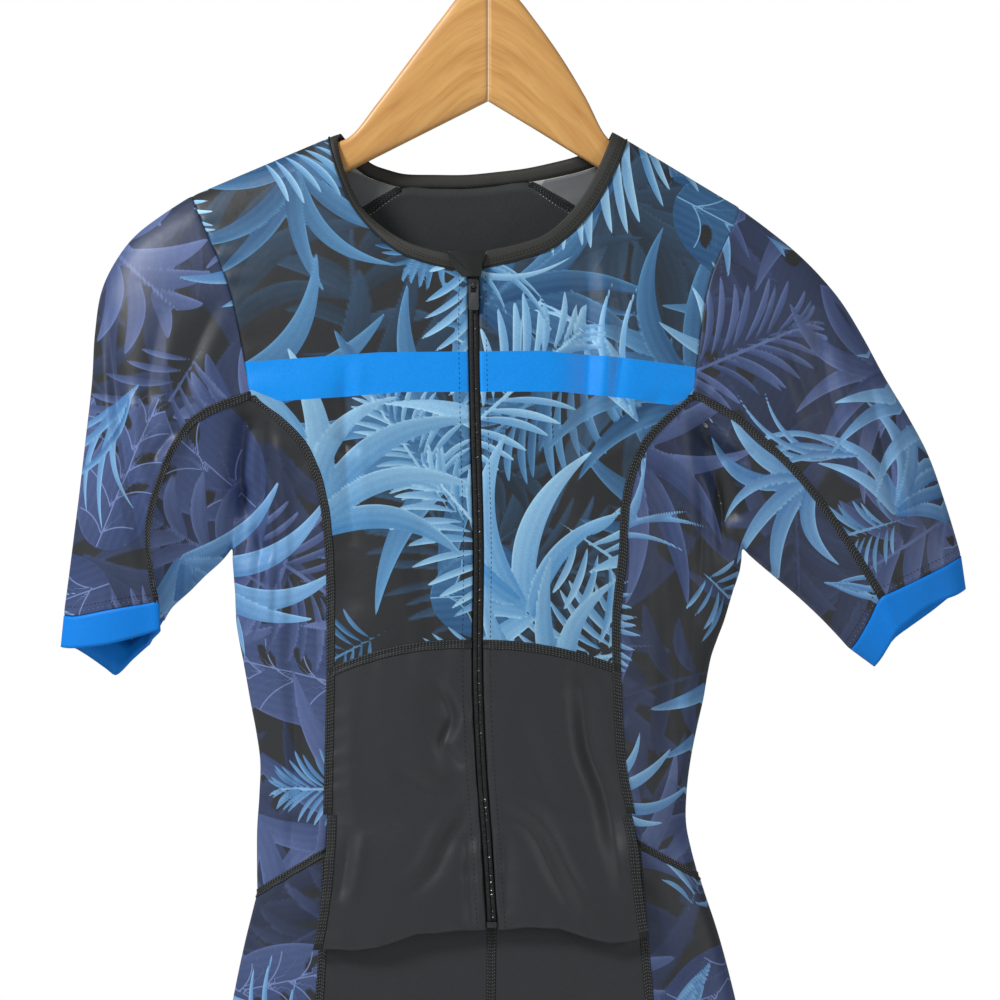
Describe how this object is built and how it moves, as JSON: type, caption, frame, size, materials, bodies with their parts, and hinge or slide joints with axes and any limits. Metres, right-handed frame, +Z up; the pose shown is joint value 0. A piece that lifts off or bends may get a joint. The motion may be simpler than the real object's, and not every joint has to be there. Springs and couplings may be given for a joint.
{
  "type": "triathlon suit on a hanger",
  "caption": "Short-sleeved one-piece triathlon suit with a front zip, leaf-printed panels, a chest band and shorts legs, hanging flat on a wooden hanger.",
  "frame": {"origin": "inner crest of the hanger's hook, where a rail holds it", "axes": "+Z up, -Y towards the viewer of the suit's front, +X to that viewer's right"},
  "size_m": [0.5758, 0.0631, 1.011],
  "materials": {
    "front_print": "smooth lycra knit with a leaf print",
    "side_print": "smooth lycra knit with a darker leaf print",
    "black_cloth": "matte lycra knit",
    "cuff_blue": "elastic gripper band",
    "binding": "folded elastic binding",
    "zip_tape": "woven tape with a nylon coil",
    "zip_metal": "black lacquered zinc",
    "pull_tab": "moulded soft plastic",
    "hanger_wood": "clear lacquered beech",
    "hook_steel": "polished steel wire"
  },
  "bodies": {
    "garment": {"front_upper_left": "front_print", "front_upper_right": "front_print", "front_lower_left": "black_cloth", "front_lower_right": "black_cloth", "sleeve_left": "side_print", "sleeve_right": "side_print", "side_panel_left": "side_print", "side_panel_right": "side_print", "cuff_left": "cuff_blue", "cuff_right": "cuff_blue", "back_panel": "black_cloth", "neck_binding": "binding", "shorts_side_left": "side_print", "shorts_side_right": "side_print", "shorts_front_left": "black_cloth", "shorts_front_right": "black_cloth", "shorts_back_left": "black_cloth", "shorts_back_right": "black_cloth", "leg_band_left": "black_cloth", "leg_band_right": "black_cloth", "zip_tape_left": "zip_tape", "zip_tape_right": "zip_tape", "zip_garage": "binding", "zip_slider": "zip_metal", "zip_bottom_stop": "zip_metal", "hanger_arm_left": "hanger_wood", "hanger_arm_right": "hanger_wood", "hanger_hook": "hook_steel"},
    "pull_tab": {"zip_pull_tab": "pull_tab"}
  },
  "joints": [
    {"name": "tab_swing", "type": "hinge", "parent": "garment", "child": "pull_tab", "pos_m": [-0.00902, -0.0299, -0.256], "axis": [-1, 0, 0], "range_deg": [0, 110]}
  ]
}
